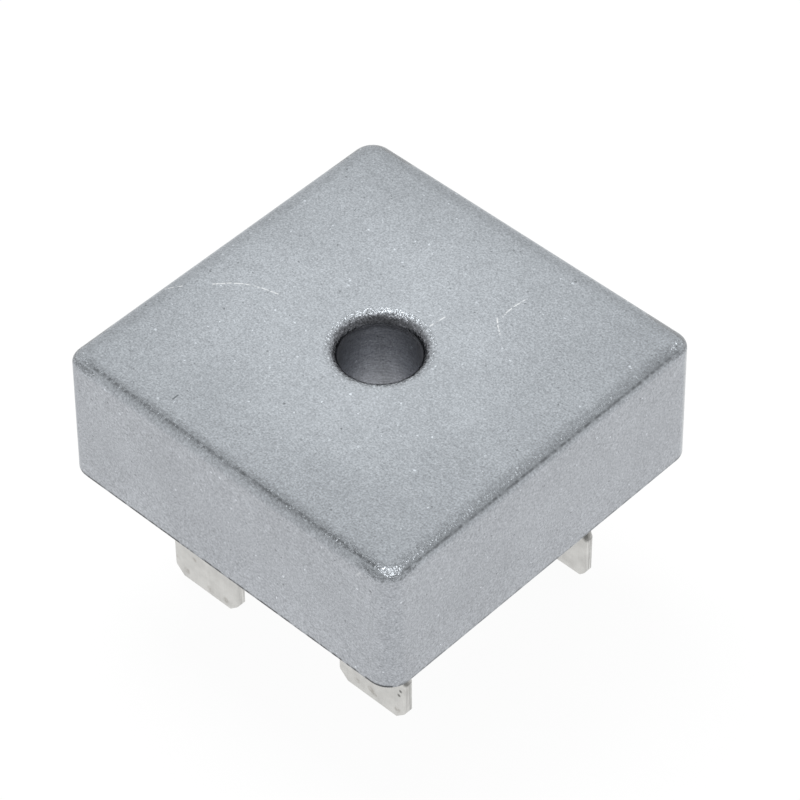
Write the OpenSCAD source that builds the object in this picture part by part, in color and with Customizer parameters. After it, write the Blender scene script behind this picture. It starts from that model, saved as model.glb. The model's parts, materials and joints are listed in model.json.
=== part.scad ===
// Bridge rectifier in a square all-metal case, standing on its four push-on terminals.
// The origin is midway between the terminals, on the plane of their tips. +Z points up to the
// heat-sink face, -Y is the front side and +X the right side. All sizes are in millimetres.

/* [Case] */
// Width of the square case just under its heat-sink face
case_w = 28.6; // [28:0.1:30]
// Height of the case, from its rim up to the heat-sink face
case_h = 10.05; // [9.8:0.05:12]
// Distance by which each side leans out on its way down to the rim
side_draft = 0.15; // [0.05:0.05:0.4]
// Thickness of the side walls
wall_t = 1.4; // [1:0.1:1.8]
// Thickness of the metal under the heat-sink face
face_t = 2; // [1.5:0.1:2.5]
// Radius of the four upright edges
corner_r = 1.5; // [1.4:0.1:2]
// Width of the strip in which the heat-sink face rolls over to the sides
face_edge_w = 1.4; // [0.6:0.1:1.4]
// Height of that rolled edge
face_edge_h = 0.55; // [0.3:0.05:0.9]
// Radius of the outer edge of the rim
rim_edge_r = 0.05; // [0.05:0.05:0.4]
// Radius of the upright edges inside the case
inner_corner_r = 1; // [0.8:0.1:1.5]
// Radius of the fillets where the walls and the post meet the inside of the heat-sink face
root_r = 0.5; // [0.2:0.1:0.7]

/* [Mounting bore] */
// Diameter of the bore for the mounting screw
bore_d = 5.4; // [4.6:0.1:5.8]
// Radius of the lip where the bore opens in the heat-sink face
lip_r = 0.95; // [0.3:0.05:1.4]
// Wall of the post that carries the bore down to the rim
post_wall = 1.3; // [0.8:0.1:1.6]
// Chamfer of the bore at the lower end of the post
bore_chamfer = 0.3; // [0.1:0.1:0.6]

/* [Terminals] */
// Length of the terminals below the rim of the case
terminal_len = 12.05; // [10:0.05:15]
// Width of the push-on blade
blade_w = 6.1; // [5.9:0.1:6.5]
// Thickness of the terminal strip
blade_t = 0.7; // [0.65:0.05:0.9]
// Radius of the rolled edges down both sides of the blade
blade_edge_r = 0.2; // [0.05:0.05:0.3]
// Width of the chamfers at the corners of the tip
tip_chamfer = 1.05; // [0.6:0.05:1.6]
// Width of those chamfers on the second AC terminal, whose tip is cut less
ac_2_tip_chamfer = 0.7; // [0.4:0.1:1.6]
// Radius that rounds both ends of the tip's chamfers
tip_round = 0.6; // [0.2:0.1:0.8]
// Depth of the lead-in bevel on both broad faces of the tip
lead_in_t = 0.12; // [0.06:0.02:0.26]
// Height of that lead-in bevel
lead_in_h = 0.2; // [0.1:0.05:0.6]
// Diameter of the locking hole
lock_hole_d = 1.8; // [1.4:0.1:2.2]
// Height of the locking hole above the tip
lock_hole_up = 4.2; // [3.6:0.1:5]
// Radius of the tie-bar notches in both side edges
notch_r = 0.5; // [0.4:0.05:0.7]
// Depth of the tie-bar notches
notch_depth = 0.25; // [0.15:0.05:0.4]
// Height of the tie-bar notches above the tip
notch_up = 4.25; // [3.4:0.05:5]
// Length of the bent foot that is soldered down inside the case
foot_len = 2.8; // [2.4:0.1:3]
// Inner radius of the bend between blade and foot
bend_r = 0.4; // [0.2:0.1:0.6]
// Height of the stretch under the bend that keeps its square edges
square_h = 0.5; // [0.2:0.1:1]

/* [Terminal positions] */
// First AC terminal, blade middle to the left side of the case
ac_1_from_left = 6.7; // [6.4:0.05:7.2]
// First AC terminal, outer blade face to the front side
ac_1_from_front = 5.15; // [4.9:0.05:5.8]
// Minus terminal, blade middle to the right side
minus_from_right = 7.4; // [7.2:0.05:7.9]
// Minus terminal, outer blade face to the front side
minus_from_front = 6; // [5.4:0.05:6.2]
// Second AC terminal, blade middle to the right side
ac_2_from_right = 7.15; // [7:0.05:7.9]
// Second AC terminal, outer blade face to the back side
ac_2_from_back = 4.45; // [4:0.05:5.2]
// Plus terminal, the blade face towards the bore to the left side
plus_from_left = 7.5; // [7:0.05:8]
// Plus terminal, blade middle to the back side
plus_from_back = 6.35; // [6:0.05:6.8]

/* [Inner parts] */
// Thickness of the insulating sheet under the heat-sink face
sheet_t = 0.4; // [0.3:0.05:0.8]
// Gap between the edges of the insulating sheet and the walls and post
sheet_gap = 0.7; // [0.6:0.05:0.9]
// Thickness of the copper plates and straps
copper_t = 0.8; // [0.5:0.1:1]
// Radius of the corners of the copper plates and straps
copper_r = 0.6; // [0.3:0.1:1]
// Width of the square diode dies
die_w = 4.6; // [3.6:0.1:4.8]
// Thickness of the diode dies
die_t = 0.3; // [0.2:0.05:0.5]
// Width of the solder contact on the strap side of a die
contact_w = 3.6; // [2.6:0.1:3.6]
// Distance by which a plate or strap passes the edge of its dies
lap = 0.7; // [0.3:0.1:0.8]
// Thickness of the solder layers
solder_t = 0.1; // [0.05:0.05:0.15]
// Distance by which the solder stays inside the edges of a terminal's foot
solder_inset = 0.3; // [0.1:0.1:0.6]
// Distance from the rim up to the surface of the potting
potting_recess = 0.4; // [0.2:0.1:0.8]

/* [Hidden] */
$fn = 64;
// Number of flats that make each rounded end of a tip chamfer
tip_arc_steps = 5;
// Length by which a cutting shape stands past the face that it cuts
over = 1;

// Outside and inside of the case
half_w = case_w / 2;
draft_slope = side_draft / case_h;
face_roll = [min(face_edge_w, corner_r), face_edge_h];
rim_z = terminal_len;
face_z = rim_z + case_h;
ceiling_z = face_z - face_t;
ceiling_half = half_w - wall_t;
bore_r = bore_d / 2;
post_r = bore_r + post_wall;

// Levels of the inner parts, from the heat-sink face down: each value is a lower face
sheet_z = ceiling_z - sheet_t;
plate_z = sheet_z - copper_t;
plate_solder_z = plate_z - solder_t;
die_z = plate_solder_z - die_t;
strap_solder_z = die_z - solder_t;
strap_z = strap_solder_z - copper_t;

// The dies lie mid-way between the post and the walls, one on each side, and the copper makes a
// square ring that passes them by its lap
sheet_half = ceiling_half - sheet_gap;
sheet_hole_r = post_r + sheet_gap;
die_at = (post_r + ceiling_half) / 2;
copper_end = die_w / 2 + lap;
copper_in = die_at - copper_end;
copper_out = die_at + copper_end;

// Turn of each corner of the ring, and of each die, from the right-hand back corner and right side
plus_turn = 90;
ac_1_turn = 180;
minus_turn = 270;
ac_2_turn = 0;
die_turns = [180, 270, 0, 90];

// Rectangle with rounded corners, from its lowest to its highest corner
module rounded_rect(low, high, r) {
    size = high - low;
    translate(low + [r, 0]) square([size.x - 2 * r, size.y]);
    translate(low + [0, r]) square([size.x, size.y - 2 * r]);
    for (x = [low.x + r, high.x - r]) {
        for (y = [low.y + r, high.y - r]) {
            translate([x, y]) circle(r);
        }
    }
}

// Section of a drafted side, outwards from the axis of the upright edge beside it: a quarter of an
// ellipse as wide and high as the roll at the face, a quarter arc at the foot, and a straight side
// that leans out between them
module side_section(r, h, roll, low_r) {
    low = r + draft_slope * h;
    intersection() {
        union() {
            polygon([
                [0, 0],
                [low - low_r, 0],
                [low - low_r, low_r],
                [low, low_r],
                [r, h - roll.y],
                [r - roll.x, h - roll.y],
                [r - roll.x, h],
                [0, h]
            ]);
            translate([r - roll.x, h - roll.y]) scale(roll) circle(1);
            translate([low - low_r, low_r]) circle(low_r);
        }
        square([low, h]);
    }
}

// Square block whose sides lean out on the way down, with rounded upright edges and a rolled face
// edge
module drafted_block(half, h, upright_r, roll, low_r) {
    core = half - upright_r;
    linear_extrude(h) square(2 * core, center = true);
    for (turn = [0:90:270]) {
        rotate(turn) translate([core, core, 0]) {
            rotate([90, 0, 0]) linear_extrude(2 * core) side_section(upright_r, h, roll, low_r);
            rotate_extrude(angle = 90) side_section(upright_r, h, roll, low_r);
        }
    }
}

// Post round the bore, with the fillet at its root
module post() {
    translate([0, 0, rim_z]) cylinder(h = ceiling_z - rim_z, r = post_r);
    translate([0, 0, ceiling_z - root_r]) rotate_extrude() {
        difference() {
            square([post_r + root_r, root_r]);
            translate([post_r + root_r, 0]) circle(root_r);
        }
    }
}

// Hollow of the case: open below the rim, and round the post
module hollow() {
    depth = ceiling_z - rim_z + over;
    difference() {
        translate([0, 0, rim_z - over]) {
            drafted_block(ceiling_half, depth, inner_corner_r, [root_r, root_r], root_r);
        }
        post();
        translate([0, 0, rim_z - 2 * over]) cylinder(h = 2 * over, r = post_r);
    }
}

// Bore with its rounded lip in the heat-sink face and its chamfer at the rim
module bore() {
    translate([0, 0, rim_z - over]) cylinder(h = case_h + 2 * over, r = bore_r);
    translate([0, 0, face_z - lip_r]) rotate_extrude() {
        difference() {
            square([bore_r + lip_r, lip_r + over]);
            translate([bore_r + lip_r, 0]) circle(lip_r);
        }
    }
    translate([0, 0, rim_z]) cylinder(h = bore_chamfer, r1 = bore_r + bore_chamfer, r2 = bore_r);
}

module case() {
    color("#b1b7bc") difference() {
        translate([0, 0, rim_z]) {
            drafted_block(half_w, case_h, corner_r, face_roll, rim_edge_r);
        }
        hollow();
        bore();
    }
}

module insulating_sheet() {
    color("#e8e4d8") translate([0, 0, sheet_z]) linear_extrude(sheet_t) difference() {
        rounded_rect([-sheet_half, -sheet_half], [sheet_half, sheet_half], inner_corner_r);
        circle(sheet_hole_r);
    }
}

// L-shaped copper stamping round one corner of the ring, with its lower face at z
module corner_copper(turn, z) {
    far = [copper_out, copper_out];
    color("#c07a4a") rotate(turn) translate([0, 0, z]) linear_extrude(copper_t) {
        rounded_rect([-copper_end, copper_in], far, copper_r);
        rounded_rect([copper_in, -copper_end], far, copper_r);
    }
}

module plus_plate() {
    corner_copper(plus_turn, plate_z);
}

module minus_plate() {
    corner_copper(minus_turn, plate_z);
}

module ac_strap_1() {
    corner_copper(ac_1_turn, strap_z);
}

module ac_strap_2() {
    corner_copper(ac_2_turn, strap_z);
}

// Square slab under the arm on side i of the ring, from z up
module on_side(i, width, z, thickness) {
    rotate(die_turns[i - 1]) translate([die_at, 0, z + thickness / 2]) {
        cube([width, width, thickness], center = true);
    }
}

module diode_die(i) {
    color("#3c3f46") on_side(i, die_w, die_z, die_t);
}

module plate_solder(i) {
    color("#a9adb0") on_side(i, die_w, plate_solder_z, solder_t);
}

module strap_solder(i) {
    color("#a9adb0") on_side(i, contact_w, strap_solder_z, solder_t);
}

// Places a terminal or its solder: the blade's outer face goes to the given spot
module at_ac_1() {
    translate([ac_1_from_left - half_w, ac_1_from_front - half_w, 0]) children();
}

module at_minus() {
    translate([half_w - minus_from_right, minus_from_front - half_w, 0]) children();
}

module at_ac_2() {
    translate([half_w - ac_2_from_right, half_w - ac_2_from_back, 0]) rotate(180) children();
}

module at_plus() {
    translate([plus_from_left - half_w, half_w - plus_from_back, 0]) rotate(90) children();
}

// Stands a flat outline on its lower edge and gives it depth, from y = 0 to y = depth
module upright(depth) {
    translate([0, depth, 0]) rotate([90, 0, 0]) linear_extrude(depth) children();
}

// Turns a side view, drawn with the inward direction to its right, into a solid of the blade's width
module across_blade() {
    rotate([90, 0, 90]) translate([0, 0, -blade_w / 2]) linear_extrude(blade_w) children();
}

// Points of an eighth of a turn round a centre, from the given angle on
function eighth_turn(centre, r, from) = [
    for (i = [0:tip_arc_steps])
        centre + r * [cos(from + 45 * i / tip_arc_steps), sin(from + 45 * i / tip_arc_steps)]
];

// Front view of a blade of height h, with its chamfered tip corners rounded at both ends
module blade_front(h, chamfer) {
    edge = blade_w / 2;
    reach = tip_round * tan(22.5);
    for (side = [0, 1]) {
        mirror([side, 0]) polygon(concat(
            [[0, h], [0, 0]],
            eighth_turn([edge - chamfer - reach, tip_round], tip_round, -90),
            eighth_turn([edge - tip_round, chamfer + reach], tip_round, -45),
            [[edge, h]]
        ));
    }
}

// Side view of a blade of height h, with the lead-in bevels of its tip
module blade_side(h) {
    polygon([
        [lead_in_t, 0],
        [blade_t - lead_in_t, 0],
        [blade_t, lead_in_h],
        [blade_t, h],
        [0, h],
        [0, lead_in_h]
    ]);
}

// Straight blade of height h, standing on its tip
module blade(h, chamfer) {
    intersection() {
        linear_extrude(h) {
            rounded_rect([-blade_w / 2, 0], [blade_w / 2, blade_t], blade_edge_r);
        }
        upright(blade_t) blade_front(h, chamfer);
        across_blade() blade_side(h);
    }
}

// Side view of the bend and the foot, with the square-edged stretch that joins them to the blade
module foot_side() {
    outer_r = bend_r + blade_t;
    translate([0, -square_h]) square([blade_t, square_h]);
    difference() {
        intersection() {
            translate([outer_r, 0]) circle(outer_r);
            square(outer_r);
        }
        translate([outer_r, 0]) circle(bend_r);
    }
    translate([outer_r, bend_r]) square([foot_len - outer_r, blade_t]);
}

// Terminal bent from strip, with its outer blade face on y = 0 and its foot's upper face at top_z
module terminal(top_z, chamfer = tip_chamfer) {
    bend_z = top_z - blade_t - bend_r;
    notch_out = blade_w / 2 - notch_depth + notch_r;
    color("#cfcdc8") difference() {
        union() {
            blade(bend_z, chamfer);
            translate([0, 0, bend_z]) across_blade() foot_side();
        }
        translate([0, -over, 0]) upright(blade_t + 2 * over) {
            translate([0, lock_hole_up]) circle(d = lock_hole_d);
            for (x = [-notch_out, notch_out]) {
                translate([x, notch_up]) circle(notch_r);
            }
        }
    }
}

// Solder on the flat of a terminal's foot, with its lower face at z
module foot_solder(z) {
    start = bend_r + blade_t;
    width = blade_w - 2 * solder_inset;
    color("#a9adb0") translate([-width / 2, start, z]) {
        cube([width, foot_len - solder_inset - start, solder_t]);
    }
}

module terminal_plus() {
    at_plus() terminal(plate_z - solder_t);
}

module terminal_minus() {
    at_minus() terminal(plate_z - solder_t);
}

module terminal_ac_1() {
    at_ac_1() terminal(strap_z - solder_t);
}

module terminal_ac_2() {
    at_ac_2() terminal(strap_z - solder_t, ac_2_tip_chamfer);
}

module foot_solder_plus() {
    at_plus() foot_solder(plate_z - solder_t);
}

module foot_solder_minus() {
    at_minus() foot_solder(plate_z - solder_t);
}

module foot_solder_ac_1() {
    at_ac_1() foot_solder(strap_z - solder_t);
}

module foot_solder_ac_2() {
    at_ac_2() foot_solder(strap_z - solder_t);
}

// Epoxy that fills the hollow round everything in it, down to its recess
module potting() {
    color("#2b2c2e") difference() {
        intersection() {
            hollow();
            translate([-half_w, -half_w, rim_z + potting_recess]) cube([case_w, case_w, case_h]);
        }
        insulating_sheet();
        plus_plate();
        minus_plate();
        ac_strap_1();
        ac_strap_2();
        for (i = [1:4]) {
            plate_solder(i);
            diode_die(i);
            strap_solder(i);
        }
        terminal_plus();
        terminal_minus();
        terminal_ac_1();
        terminal_ac_2();
        foot_solder_plus();
        foot_solder_minus();
        foot_solder_ac_1();
        foot_solder_ac_2();
    }
}

case();
insulating_sheet();
potting();
terminal_plus();
terminal_minus();
terminal_ac_1();
terminal_ac_2();
plus_plate();
minus_plate();
ac_strap_1();
ac_strap_2();
diode_die(1);  // diode_die_1
diode_die(2);  // diode_die_2
diode_die(3);  // diode_die_3
diode_die(4);  // diode_die_4
plate_solder(1);  // plate_solder_1
plate_solder(2);  // plate_solder_2
plate_solder(3);  // plate_solder_3
plate_solder(4);  // plate_solder_4
strap_solder(1);  // strap_solder_1
strap_solder(2);  // strap_solder_2
strap_solder(3);  // strap_solder_3
strap_solder(4);  // strap_solder_4
foot_solder_plus();
foot_solder_minus();
foot_solder_ac_1();
foot_solder_ac_2();
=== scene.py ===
import json

import bpy
from mathutils import Matrix, Vector


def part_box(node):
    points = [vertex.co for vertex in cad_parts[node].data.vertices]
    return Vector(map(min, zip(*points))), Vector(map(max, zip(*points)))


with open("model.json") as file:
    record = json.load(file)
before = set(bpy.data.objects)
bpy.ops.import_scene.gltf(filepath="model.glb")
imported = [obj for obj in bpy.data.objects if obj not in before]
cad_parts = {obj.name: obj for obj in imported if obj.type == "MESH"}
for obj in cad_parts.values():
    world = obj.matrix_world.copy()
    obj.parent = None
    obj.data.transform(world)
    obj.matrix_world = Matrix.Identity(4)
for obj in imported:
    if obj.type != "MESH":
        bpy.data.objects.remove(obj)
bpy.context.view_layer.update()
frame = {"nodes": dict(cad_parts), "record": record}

# Finishes the solids of the bridge rectifier with procedural metals, epoxy and silicon, and sets
# them on a white floor in a white studio tent, where the photograph's camera stood.

MM = 0.001

# Sizes of the case in mm, taken from the frame. Heights count from the terminal tips.
RIM_Z, FACE_Z = (corner[2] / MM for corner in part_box("case"))
BORE_R = next(m["dims"]["r_mm"] for m in frame["record"]["mounts"] if m["name"] == "screw_bore")

# The crease that ends the rolled edge of the face, in mm from the bore's axis.
CREASE_X = 14.01  # along the right side
CREASE_Y = 13.65  # along the front side
CREASE_TURN = (13.3, 13.05, 0)  # middle of its curve at each corner of the face
CREASE_CORNER = (14.0, 13.75, 0)  # where its lines would cross, the bluntest place
# The place in the rolled edge, at each corner of the face, that glints most.
GLINT_CORNER = (13.4, 13.4, FACE_Z - 0.2)

# Colours, as linear red, green and blue.
FACE_GREY = (0.44, 0.47, 0.50)
# The walls' grey is the face's grey made darker: painted shade on the sides.
WALL_GREY_SHADED = (0.404, 0.423, 0.451)
# The bore's grey is partly the turned metal and partly painted shade inside the hole.
BORE_GREY_SHADED = (0.335, 0.347, 0.377)
BRIGHT_METAL = (0.85, 0.87, 0.88)
DARK_METAL = (0.1, 0.11, 0.12)
TIN = (0.62, 0.615, 0.595)
SMUDGE_GREY = (0.34, 0.32, 0.29)
# Black of the pitting and of the painted shade in the notches.
PIT_AND_SHADE_BLACK = (0.08, 0.08, 0.075)
WHITE = (1, 1, 1)

# Marks that the photograph shows on the part. Points and widths are in mm, from the origin.
# Scratches on the heat-sink face, each as a row of x, y points.
FACE_SCRATCHES = [
    [(-13.94, -5.49), (-13.55, -5.06), (-13.21, -4.67)],
    [(-11.87, -3.18), (-11.13, -2.36), (-10.36, -1.76), (-9.29, -1.28), (-8.15, -0.97)],
    [(3.87, 9.48), (3.77, 8.63), (3.76, 7.88), (3.88, 7.37)],
    [(3.66, 7.04), (4.19, 6.54), (4.77, 6.09)],
    [(1.01, 3.58), (1.16, 4.83)],
]
# A bright scuff at the top of the front wall, and a bright spot of painted highlight low on the
# right wall.
FRONT_SCUFF = [(11.62, -14.38, 21.1), (11.86, -14.38, 21.45)]
RIGHT_PAINTED_GLINT = (14.35, 12.76, 13.62)
# Dark ticks on the face and on the right wall.
FACE_TICK = [(-6.38, -12.18, FACE_Z), (-6.4, -11.72, FACE_Z)]
RIGHT_TICK = [(14.36, 12.95, 15.05), (14.37, 12.9, 14.4), (14.38, 12.6, 14.25)]
# Smudges on the terminals, then dark pitting and painted shade in two notches, each with its middle
# and its radius.
SMUDGES = [
    ((-7.3, -9.2, 0.68), 0.42),
    ((-9.5, -9.2, 0.9), 0.4),
    ((-8.7, -9.2, 2.6), 0.3),
    ((-5.8, -9.2, 0.75), 0.36),
    ((-10.35, -9.2, 1.7), 0.32),
    ((5.58, -8.35, 0.93), 0.35),
    ((9.2, -8.35, 0.9), 0.4),
]
LONG_SMUDGE = [(6.75, -8.35, 1.05), (7.1, -8.35, 0.8)]
PITS_AND_NOTCH_SHADE = [
    ((9.48, -8.35, 3.0), 0.2),
    ((9.34, -8.35, 2.49), 0.2),
    # Painted shade in the notches of two terminals, at the rim.
    ((9.95, -8.15, 4.15), 0.6),
    ((10.1, 9.3, 4.25), 0.7),
]

# The studio, as the part mirrors it: directions from the part, angles in degrees.
BACKLIGHT = (-0.477, 0.503, 0.720)
OVERHEAD = (-0.103, 0.109, 0.989)
# Dim openings in the studio's tent: direction, inner and outer angle, brightness left.
OPENINGS = [
    ((-0.163, 0.026, 0.986), 19.0, 27.0, 0.48),
    ((0.216, 0.503, 0.836), 5.0, 34.0, 0.70),
    ((0.553, -0.577, 0.600), 34.0, 50.0, 0.50),
]


class Graph:
    """Adds nodes to one node tree. An input is either a plain value or another node's output."""

    def __init__(self, tree):
        self.tree = tree

    def add(self, kind, props=None, **inputs):
        """A node. Input i2 is its third one; any other goes by its name, with _ for a space."""
        node = self.tree.nodes.new(kind)
        for name, value in (props or {}).items():
            setattr(node, name, value)
        for name, value in inputs.items():
            self.plug(node, name, value)
        return node

    def plug(self, node, name, value):
        """Links or sets one input of a node."""
        by_number = name[0] == "i" and name[1:].isdigit()
        socket = node.inputs[int(name[1:]) if by_number else name.replace("_", " ")]
        if isinstance(value, bpy.types.NodeSocket):
            self.tree.links.new(value, socket)
        elif socket.type == "RGBA" and len(value) == 3:
            socket.default_value = (*value, 1)
        else:
            socket.default_value = value

    def math(self, operation, a, b=0.0, clamp=False):
        props = {"operation": operation, "use_clamp": clamp}
        return self.add("ShaderNodeMath", props, i0=a, i1=b).outputs[0]

    def product(self, first, *others):
        for other in others:
            first = self.math("MULTIPLY", first, other)
        return first

    def highest(self, first, *others):
        for other in others:
            first = self.math("MAXIMUM", first, other)
        return first

    def vector(self, operation, a, b=(0, 0, 0)):
        node = self.add("ShaderNodeVectorMath", {"operation": operation}, i0=a, i1=b)
        gives_number = operation in ("DOT_PRODUCT", "LENGTH", "DISTANCE")
        return node.outputs["Value" if gives_number else "Vector"]

    def scaled(self, a, factor):
        node = self.add("ShaderNodeVectorMath", {"operation": "SCALE"}, i0=a, Scale=factor)
        return node.outputs["Vector"]

    def flat(self, place):
        """The point without its height."""
        return self.vector("MULTIPLY", place, (1, 1, 0))

    def xyz(self, vector):
        """The three parts of a vector."""
        return tuple(self.add("ShaderNodeSeparateXYZ", Vector=vector).outputs)

    def noise(self, place, scale, detail=2.0, rough=0.5):
        return self.add(
            "ShaderNodeTexNoise", Vector=place, Scale=scale, Detail=detail, Roughness=rough
        ).outputs[0]

    def cells(self, place, scale):
        """One random number for each cell of a scatter of points."""
        colour = self.add("ShaderNodeTexVoronoi", Vector=place, Scale=scale).outputs["Color"]
        return self.add("ShaderNodeSeparateColor", Color=colour).outputs["Red"]

    def ramp(self, value, low, high, to_low=0.0, to_high=1.0, smooth=True):
        """Maps low..high to to_low..to_high, and stays level outside."""
        node = self.add(
            "ShaderNodeMapRange",
            {"interpolation_type": "SMOOTHSTEP" if smooth else "LINEAR"},
            Value=value, i1=low, i2=high, i3=to_low, i4=to_high,
        )
        return node.outputs[0]

    def fade(self, value, low, high):
        """1 up to low, falling to 0 at high."""
        return self.ramp(value, low, high, 1.0, 0.0)

    def blend(self, mask, outside, inside):
        """The number outside where the mask is 0, and the number inside where it is 1."""
        return self.ramp(mask, 0.0, 1.0, outside, inside)

    def mix(self, factor, a, b):
        """Colour a where the factor is 0, and colour b where it is 1."""
        node = self.add("ShaderNodeMix", {"data_type": "RGBA"}, i0=factor, i6=a, i7=b)
        return node.outputs[2]

    def bump(self, height, depth, strength=1.0, **normal):
        """The surface's direction, dented to this depth in metres by a height from 0 to 1."""
        return self.add(
            "ShaderNodeBump", Height=height, Distance=depth, Strength=strength, **normal
        ).outputs[0]

    def place_mm(self):
        """The point on the part, in millimetres."""
        return self.scaled(self.add("ShaderNodeTexCoord").outputs["Object"], 1 / MM)

    def facing(self):
        """The direction that the surface faces, before any bump."""
        return self.add("ShaderNodeNewGeometry").outputs["Normal"]


def new_material(name):
    material = bpy.data.materials.new(name)
    material.use_nodes = True
    material.node_tree.nodes.clear()
    return material, Graph(material.node_tree)


def finish_surface(g, **inputs):
    """Ends a material in one Principled shader with these inputs."""
    shader = g.add("ShaderNodeBsdfPrincipled", **inputs)
    g.add("ShaderNodeOutputMaterial", Surface=shader.outputs[0])


def line_mark_group():
    """A node group: 1 on a thin straight line between two points, 0 away from it."""
    tree = bpy.data.node_groups.new("line_mark", "ShaderNodeTree")
    for name in ("Place", "Start", "End"):
        tree.interface.new_socket(name, in_out="INPUT", socket_type="NodeSocketVector")
    tree.interface.new_socket("Width", in_out="INPUT", socket_type="NodeSocketFloat")
    tree.interface.new_socket("Mask", in_out="OUTPUT", socket_type="NodeSocketFloat")
    g = Graph(tree)
    given = g.add("NodeGroupInput").outputs
    line = g.vector("SUBTRACT", given["End"], given["Start"])
    out = g.vector("SUBTRACT", given["Place"], given["Start"])
    along = g.vector("DOT_PRODUCT", out, line)
    share = g.math("DIVIDE", along, g.vector("DOT_PRODUCT", line, line), clamp=True)
    gap = g.vector("DISTANCE", out, g.scaled(line, share))
    g.add("NodeGroupOutput", Mask=g.fade(g.math("DIVIDE", gap, given["Width"]), 0.4, 1.0))
    return tree


LINE_MARK = line_mark_group()


def path_mark(g, place, points, width):
    """A thin mark along a row of points."""
    lines = [
        g.add("ShaderNodeGroup", {"node_tree": LINE_MARK}, Place=place, Start=a, End=b, Width=width)
        for a, b in zip(points, points[1:])
    ]
    return g.highest(*[line.outputs[0] for line in lines])


def dab_mark(g, place, middle, radius):
    """A soft round mark about a point."""
    return g.fade(g.vector("DISTANCE", place, middle), radius * 0.3, radius)


def bore_distance(g, place):
    """How far a point lies outside the bore's wall, in mm. The lip reaches out to 0.95."""
    return g.math("SUBTRACT", g.vector("LENGTH", g.flat(place)), BORE_R)


def on_bore_wall(g, place):
    """Mask of the straight wall of the bore, below its lip."""
    return g.fade(bore_distance(g, place), 0.0, 0.12)


def on_face(g, place):
    """Mask of the heat-sink face."""
    return g.ramp(g.xyz(place)[2], FACE_Z - 0.6, FACE_Z - 0.1)


def on_rolled_edge(g, place):
    """Mask of the rolled edge round the face, strongest at its four corners."""
    lean = g.xyz(g.facing())[2]
    sloping = g.product(g.ramp(lean, 0.3, 0.6), g.fade(lean, 0.97, 0.998))
    from_corner = g.vector("DISTANCE", g.vector("ABSOLUTE", place), GLINT_CORNER)
    return g.product(sloping, g.ramp(from_corner, 0.5, 1.1, 0.85, 0.26))


def grain_and_painted_glints(g, place):
    """Brightness of the blasted metal: fine dents, a few facets made bright as a painted highlight,
    and a few that stay dull.
    """
    dents = g.ramp(g.noise(place, 8.0, 1.0), 0.25, 0.75, 0.77, 1.23, smooth=False)
    facet = g.cells(place, 8.0)
    lean = g.ramp(facet, 0.0, 1.0, 0.90, 1.10, smooth=False)
    # Painted highlight: rare facets made brighter, as sparkles that catch a lamp.
    painted_glint = g.ramp(facet, 0.9975, 0.9995, 0.0, 0.6)
    dull = g.ramp(facet, 0.001, 0.003, 0.3, 0.0)
    return g.math("SUBTRACT", g.math("ADD", g.product(dents, lean), painted_glint), dull)


def crease_painted_shade(g, place):
    """Mask of painted shade: a thin dark line along the crease at the front and the right edge of
    the face.
    """
    def before_corners(along):
        return g.fade(g.math("ABSOLUTE", along), 12.6, 13.4)

    x, y, z = g.xyz(place)
    from_front = g.math("ABSOLUTE", g.math("ADD", y, CREASE_Y))
    from_right = g.math("ABSOLUTE", g.math("SUBTRACT", x, CREASE_X))
    front = g.product(g.fade(from_front, 0.0, 0.26), before_corners(x))
    right = g.product(g.fade(from_right, 0.0, 0.15), before_corners(y))
    uneven = g.ramp(g.noise(place, 4.0, 3.0, 0.7), 0.38, 0.6, 0.1, 1.0)
    high = g.ramp(z, FACE_Z - 0.8, FACE_Z - 0.5)
    return g.product(g.highest(front, right), uneven, high)


def rim_painted_shade(g, place):
    """Mask of painted shade: a dark line along the rim, strong on the front side and weaker on the
    others.
    """
    _, y, z = g.xyz(place)
    low = g.fade(z, RIM_Z + 0.12, RIM_Z + 0.27)
    front = g.ramp(y, -14.0, -13.5, 1.0, 0.55)
    uneven = g.ramp(g.noise(place, 1.6, 3.0, 0.6), 0.35, 0.6, 0.25, 1.0)
    not_underneath = g.ramp(g.xyz(g.facing())[2], -0.9, -0.6)
    return g.product(low, front, uneven, not_underneath)


def lip_flecks(g, place):
    """Factor that makes the lip of the bore unevenly bright."""
    lip = g.math("SUBTRACT", g.fade(bore_distance(g, place), 0.7, 0.95), on_bore_wall(g, place))
    return g.blend(lip, 1.0, g.ramp(g.noise(place, 5.5, 1.0), 0.36, 0.62, 0.76, 1.16))


def face_painted_falloff(g, place):
    """Factor of painted shade: it darkens the heat-sink face away from its middle, as the light
    falls off.
    """
    away = g.product(g.vector("DISTANCE", place, (-1.5, 0.8, FACE_Z)), on_face(g, place))
    return g.ramp(away, 4.0, 19.0, 0.99, 0.82)


def case_brightness(g, place):
    """All that lightens or darkens the blasted metal, painted shade and painted highlights
    included, as one factor.
    """
    mottle = g.ramp(g.noise(place, 1.2), 0.3, 0.7, 0.98, 1.02)
    broad = g.ramp(g.noise(place, 0.16), 0.3, 0.7, 0.96, 1.03)
    # Painted shade in a dark line along the rim.
    rim = g.blend(rim_painted_shade(g, place), 1.0, 0.2)
    # Painted shade along the crease of the rolled edge.
    crease = g.blend(crease_painted_shade(g, place), 1.0, 0.5)
    flecks = lip_flecks(g, place)
    painted_falloff = face_painted_falloff(g, place)
    return g.product(grain_and_painted_glints(g, place), mottle, broad, rim, crease, flecks, painted_falloff)


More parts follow.
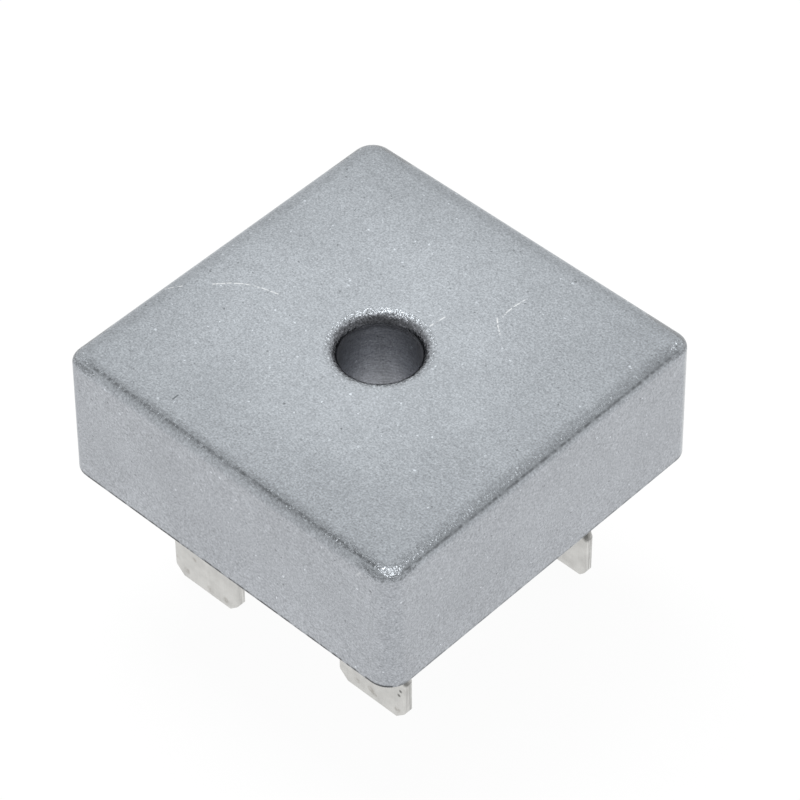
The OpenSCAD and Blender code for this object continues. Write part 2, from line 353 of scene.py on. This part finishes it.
def bore_rings_and_painted_light(g, place):
    """Factor for the bore: rings from turning, painted shade in a dark throat in its lip, and
    painted light lower down.
    """
    rings = g.noise(g.vector("MULTIPLY", place, (1.2, 1.2, 9.0)), 1.0, 3.0, 0.6)
    ragged = g.ramp(g.noise(place, 6.0, 2.0, 0.6), 0.3, 0.7, -0.24, 0.24)
    inside = g.fade(g.math("ADD", bore_distance(g, place), ragged), 0.34, 0.52)
    # Painted shade: the throat under the lip made darker.
    throat = g.math("SUBTRACT", inside, on_bore_wall(g, place))
    height = g.xyz(place)[2]
    # Painted light: the wall lighter lower down, towards the opening at the bottom, and darker near
    # the top.
    below = g.ramp(height, FACE_Z - 6.1, FACE_Z - 1.0, 1.26, 0.72, smooth=False)
    return g.product(g.ramp(rings, 0.3, 0.7, 0.84, 1.16), g.blend(throat, 1.0, 0.5), below)


def case_marks(g, place):
    """Masks of the bright scratches and scuffs with a spot of painted highlight, and of the dark
    ticks.
    """
    flat = g.flat(place)
    rows = [[(x, y, 0) for x, y in row] for row in FACE_SCRATCHES]
    scratches = g.highest(*[path_mark(g, flat, row, 0.06) for row in rows])
    broken = g.ramp(g.noise(place, 5.0, 1.0), 0.34, 0.52)
    high = g.ramp(g.xyz(place)[2], FACE_Z - 0.5, FACE_Z - 0.3)
    scuff = g.product(path_mark(g, place, FRONT_SCUFF, 0.14), 0.45)
    # Painted highlight: a bright spot low on the right wall.
    painted_glint_dot = dab_mark(g, place, RIGHT_PAINTED_GLINT, 0.09)
    face_tick = path_mark(g, place, FACE_TICK, 0.07)
    right_tick = path_mark(g, place, RIGHT_TICK, 0.05)
    bright = g.highest(g.product(scratches, broken, high), scuff, painted_glint_dot)
    return bright, g.highest(face_tick, right_tick)


def case_colour(g, place):
    """Colour of the case: its walls in painted shade, its face, its darker bore, partly in painted
    shade, and the marks on them.
    """
    brightness = case_brightness(g, place)
    outside = g.scaled(g.mix(on_face(g, place), WALL_GREY_SHADED, FACE_GREY), brightness)
    bore = g.scaled(BORE_GREY_SHADED, g.product(brightness, bore_rings_and_painted_light(g, place)))
    metal = g.mix(g.fade(bore_distance(g, place), 0.25, 0.75), outside, bore)
    bright, dark = case_marks(g, place)
    scratched = g.mix(g.product(bright, 0.8), metal, BRIGHT_METAL)
    return g.mix(g.product(dark, 0.8), scratched, DARK_METAL)


def blunt_corners(g, place):
    """The surface's direction, turned outwards past the crease at the corners of the face, which
    makes those corners look blunter than they are."""
    flat = g.flat(place)
    mirrored = g.vector("ABSOLUTE", flat)
    past_turn = g.vector("MAXIMUM", g.vector("SUBTRACT", mirrored, CREASE_TURN), (0, 0, 0))
    past_crease = g.ramp(g.vector("LENGTH", past_turn), 0.66, 0.86, 0.0, 4.0)
    near_corner = g.fade(g.vector("DISTANCE", mirrored, CREASE_CORNER), 0.7, 4.2)
    outwards = g.vector("NORMALIZE", g.vector("MULTIPLY", past_turn, g.vector("SIGN", flat)))
    turn = g.scaled(outwards, g.product(past_crease, near_corner))
    return g.vector("NORMALIZE", g.vector("ADD", g.facing(), turn))


def case_normal(g, place):
    """Direction of the blasted surface: fine dents, deeper on the lip and the rolled edge."""
    out = bore_distance(g, place)
    lip = g.math("SUBTRACT", g.fade(out, 0.7, 1.1), g.fade(out, 0.06, 0.25))
    depth = g.blend(g.highest(lip, on_rolled_edge(g, place)), 0.016 * MM, 0.085 * MM)
    return g.bump(g.noise(place, 6.0), depth, Normal=blunt_corners(g, place))


def case_material():
    """Fine shot-blasted aluminium, smoother down the bore."""
    material, g = new_material("shot_blasted_aluminium")
    place = g.place_mm()
    wall = on_bore_wall(g, place)
    finish_surface(
        g, Base_Color=case_colour(g, place), Metallic=g.blend(wall, 1.0, 0.75),
        Roughness=g.blend(wall, 0.2, 0.34), Normal=case_normal(g, place),
    )
    return material


def tin_marks(g, place):
    """Masks of the smudges, and of the dark pitting and the painted shade in the notches that the
    terminals show.
    """
    smudges = [dab_mark(g, place, middle, radius) for middle, radius in SMUDGES]
    smudges.append(path_mark(g, place, LONG_SMUDGE, 0.34))
    pit_and_shade_dabs = [dab_mark(g, place, middle, radius) for middle, radius in PITS_AND_NOTCH_SHADE]
    spotty = g.ramp(g.noise(place, 4.0, 3.0, 0.6), 0.38, 0.6, 0.25, 1.0)
    return g.product(g.highest(*smudges), spotty), g.highest(*pit_and_shade_dabs)


def cut_edges(g, place):
    """Mask of the terminals' narrow sides, where they were cut from the strip."""
    x, y, _ = g.xyz(place)
    on_turned = g.product(g.math("LESS_THAN", x, 0.0), g.math("GREATER_THAN", y, 0.0))
    facing_x, facing_y, _ = g.xyz(g.facing())
    across = g.mix(on_turned, facing_x, facing_y)
    return g.ramp(g.math("ABSOLUTE", across), 0.7, 0.9)


def tin_material():
    """Matt tin plate: cloudy on the broad faces, streaked where the strip was cut."""
    material, g = new_material("matt_tin")
    place = g.place_mm()
    cut = cut_edges(g, place)
    cloud = g.noise(place, 0.9, 4.0, 0.65)
    streak = g.noise(g.vector("MULTIPLY", place, (9.0, 9.0, 0.35)), 1.0)
    streaks = g.product(g.math("SUBTRACT", streak, 0.5), g.blend(cut, 0.12, 1.3))
    streaked = g.math("ADD", streaks, g.blend(cut, 1.0, 0.95))
    plate = g.scaled(TIN, g.product(g.ramp(cloud, 0.3, 0.7, 0.95, 1.07), streaked))
    smudge, pit_and_notch_shade = tin_marks(g, place)
    smudged = g.mix(g.product(smudge, 0.6), plate, SMUDGE_GREY)
    finish_surface(
        # Dark pitting, and painted shade in the notches.
        g, Base_Color=g.mix(g.product(pit_and_notch_shade, 0.85), smudged, PIT_AND_SHADE_BLACK), Metallic=1.0,
        Roughness=g.ramp(cloud, 0.3, 0.7, 0.44, 0.34),
        Normal=g.bump(g.noise(place, 9.0, 3.0, 0.6), 0.006 * MM),
    )
    return material


def epoxy_material():
    """Black cast epoxy, satin, with a slow ripple from its pouring."""
    material, g = new_material("cast_epoxy")
    place = g.place_mm()
    pores = g.noise(place, 5.0, 3.0, 0.6)
    ripple = g.bump(g.noise(place, 0.35), 0.08 * MM, 0.5)
    finish_surface(
        g, Base_Color=g.mix(g.ramp(pores, 0.35, 0.7), (0.022, 0.022, 0.025), (0.045, 0.045, 0.048)),
        Roughness=g.ramp(pores, 0.3, 0.7, 0.34, 0.5),
        Normal=g.bump(pores, 0.01 * MM, 0.5, Normal=ripple),
    )
    return material


def sheet_material():
    """Filled insulating sheet."""
    material, g = new_material("insulating_sheet")
    fibre = g.noise(g.place_mm(), 4.0, 4.0, 0.7)
    finish_surface(
        g, Base_Color=g.mix(g.ramp(fibre, 0.3, 0.7), (0.72, 0.68, 0.58), (0.84, 0.81, 0.73)),
        Roughness=0.75, Normal=g.bump(fibre, 0.01 * MM, 0.4),
    )
    return material


def copper_material():
    """Stamped copper with slight tarnish."""
    material, g = new_material("stamped_copper")
    place = g.place_mm()
    tarnish = g.noise(place, 0.7, 4.0, 0.6)
    finish_surface(
        g, Base_Color=g.mix(g.ramp(tarnish, 0.35, 0.7), (0.76, 0.38, 0.22), (0.55, 0.27, 0.15)),
        Metallic=1.0, Roughness=g.ramp(tarnish, 0.3, 0.7, 0.28, 0.42),
        Normal=g.bump(g.noise(place, 10.0), 0.005 * MM, 0.4),
    )
    return material


def silicon_material():
    """Lapped silicon, dark and half glossy."""
    material, g = new_material("lapped_silicon")
    lapping = g.noise(g.place_mm(), 6.0, 3.0, 0.6)
    finish_surface(
        g, Base_Color=g.mix(lapping, (0.10, 0.11, 0.13), (0.15, 0.16, 0.18)),
        Roughness=g.ramp(lapping, 0.3, 0.7, 0.2, 0.34),
    )
    return material


def solder_material():
    """Reflowed solder, a little wavy."""
    material, g = new_material("reflowed_solder")
    wave = g.noise(g.place_mm(), 1.8)
    finish_surface(
        g, Base_Color=g.mix(wave, (0.44, 0.45, 0.47), (0.58, 0.59, 0.6)), Metallic=1.0,
        Roughness=0.33, Normal=g.bump(wave, 0.03 * MM, 0.6),
    )
    return material


MAKERS = {
    "case_aluminium": case_material,
    "insulation": sheet_material,
    "potting_epoxy": epoxy_material,
    "tinned_terminal": tin_material,
    "copper": copper_material,
    "silicon": silicon_material,
    "solder": solder_material,
}


def dress_nodes():
    """Gives each CAD node the material of its slot in the record."""
    made = {slot: maker() for slot, maker in MAKERS.items()}
    for subpart in frame["record"]["subparts"]:
        node = frame["nodes"][subpart["node"]]
        node.data.materials.clear()
        node.data.materials.append(made[subpart["material_slot"]])


def add_object(name, data):
    """A new object in the scene."""
    thing = bpy.data.objects.new(name, data)
    bpy.context.scene.collection.objects.link(thing)
    return thing


def floor_material():
    """Nearly pure white where it is seen itself, with a faint shadow. Clear from below."""
    material, g = new_material("floor_white")
    path = g.add("ShaderNodeLightPath").outputs
    seen = g.highest(path["Is Camera Ray"], path["Is Glossy Ray"], path["Is Transmission Ray"])
    matt = g.add("ShaderNodeBsdfDiffuse", Color=(0.8, 0.8, 0.8))
    glow = g.add("ShaderNodeEmission", Color=WHITE, Strength=1.0)
    clear = g.add("ShaderNodeBsdfTransparent")
    glowing = g.product(seen, 0.96)  # what is left over shows the shadow
    above = g.add("ShaderNodeMixShader", i0=glowing, i1=matt.outputs[0], i2=glow.outputs[0])
    from_below = g.add("ShaderNodeNewGeometry").outputs["Backfacing"]
    both = g.add("ShaderNodeMixShader", i0=from_below, i1=above.outputs[0], i2=clear.outputs[0])
    g.add("ShaderNodeOutputMaterial", Surface=both.outputs[0])
    return material


def make_floor():
    """A wide white floor under the terminal tips."""
    half = 3.0
    mesh = bpy.data.meshes.new("floor")
    corners = [(-half, -half, 0), (half, -half, 0), (half, half, 0), (-half, half, 0)]
    mesh.from_pydata(corners, [], [(0, 1, 2, 3)])
    mesh.materials.append(floor_material())
    floor = add_object("floor", mesh)


def studio_level(g, direction):
    """Brightness of the studio: a white tent with a lamp overhead, and dim openings beside it."""
    def within(centre, near, far, inside, outside):
        angle = g.math("DEGREES", g.math("ARCCOSINE", g.vector("DOT_PRODUCT", direction, centre)))
        return g.ramp(angle, near, far, inside, outside)

    tent = within(BACKLIGHT, 2.0, 16.0, 1.18, 0.93)
    dimmed = [within(centre, near, far, left, 1.0) for centre, near, far, left in OPENINGS]
    return g.math("ADD", g.product(tent, *dimmed), within(OVERHEAD, 9.0, 14.0, 5.4, 0.0))


def make_world():
    """The studio as the part mirrors it. The camera itself sees white."""
    world = bpy.data.worlds.new("studio")
    bpy.context.scene.world = world
    world.use_nodes = True
    world.node_tree.nodes.clear()
    g = Graph(world.node_tree)
    direction = g.add("ShaderNodeTexCoord").outputs["Generated"]
    light = g.add("ShaderNodeBackground", Color=WHITE, Strength=studio_level(g, direction))
    white = g.add("ShaderNodeBackground", Color=WHITE, Strength=1.0)
    camera_ray = g.add("ShaderNodeLightPath").outputs["Is Camera Ray"]
    both = g.add("ShaderNodeMixShader", i0=camera_ray, i1=light.outputs[0], i2=white.outputs[0])
    g.add("ShaderNodeOutputWorld", Surface=both.outputs[0])


def make_key_lamp():
    """A square lamp high above the part, for its shadow. The metal doesn't mirror it."""
    data = bpy.data.lights.new("key_lamp", "AREA")
    data.size = 200 * MM
    data.energy = 1.6
    lamp = add_object("key_lamp", data)
    lamp.location = Vector((-160, 60, 380)) * MM
    middle_of_part = Vector((0, 0, 10)) * MM
    lamp.rotation_mode = "QUATERNION"
    lamp.rotation_quaternion = (middle_of_part - lamp.location).to_track_quat("-Z", "Y")
    lamp.visible_glossy = False


def make_camera():
    """The photograph's camera, fitted to the outline of the case."""
    place = Vector((120.867, -125.682, 198.295)) * MM
    forward = Vector((-0.47727307, 0.50345637, -0.72023753))
    up = Vector((-0.49110202, 0.52685729, 0.69371479))
    turn = Matrix((forward.cross(up), up, -forward)).transposed()
    data = bpy.data.cameras.new("photo_camera")
    data.sensor_width = 36
    data.lens = 175.306
    data.clip_start = 0.01
    data.clip_end = 10
    camera = add_object("photo_camera", data)
    camera.matrix_world = Matrix.Translation(place) @ turn.to_4x4()
    bpy.context.scene.camera = camera


def make_stage():
    """All that stands round the part."""
    make_floor()
    make_world()
    make_key_lamp()
    make_camera()
    bpy.context.scene.view_settings.view_transform = "Standard"


dress_nodes()
make_stage()
